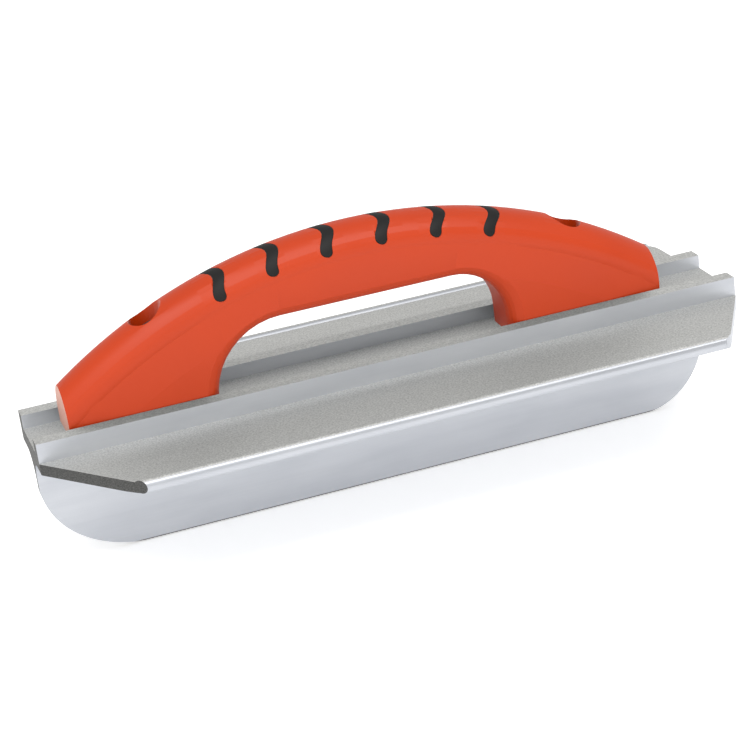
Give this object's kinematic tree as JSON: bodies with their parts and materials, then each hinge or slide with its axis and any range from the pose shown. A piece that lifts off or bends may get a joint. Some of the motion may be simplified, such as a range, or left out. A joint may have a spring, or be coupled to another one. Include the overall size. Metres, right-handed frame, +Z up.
{
  "type": "magnesium hand float with centre fin",
  "caption": "Extruded metal concrete hand tool with two flat beaded wings, a deep rounded centre fin and an arched moulded grip handle.",
  "frame": {"origin": "middle of the overall outline seen from above, at the height of the fin's lower edge", "axes": "+X along the tool towards the end where the fin stops short of the body, +Y across it, +Z up towards the handle"},
  "size_m": [0.305, 0.1326, 0.1176],
  "materials": {
    "magnesium": "extruded magnesium, fine grained on the wings and smooth on the fin and ribs",
    "orange_grip": "soft moulded orange elastomer, satin",
    "black_core": "rigid moulded black nylon",
    "black_inlay": "moulded black inlay, satin",
    "zinc_steel": "zinc plated"
  },
  "bodies": {
    "root": {"extruded_body": "magnesium", "handle_grip": "orange_grip", "handle_core": "black_core", "grip_stripe_1": "black_inlay", "grip_stripe_2": "black_inlay", "grip_stripe_3": "black_inlay", "grip_stripe_4": "black_inlay", "grip_stripe_5": "black_inlay", "grip_stripe_6": "black_inlay", "handle_screw_left": "zinc_steel", "handle_screw_right": "zinc_steel", "screw_washer_left": "zinc_steel", "screw_washer_right": "zinc_steel"}
  },
  "joints": []
}
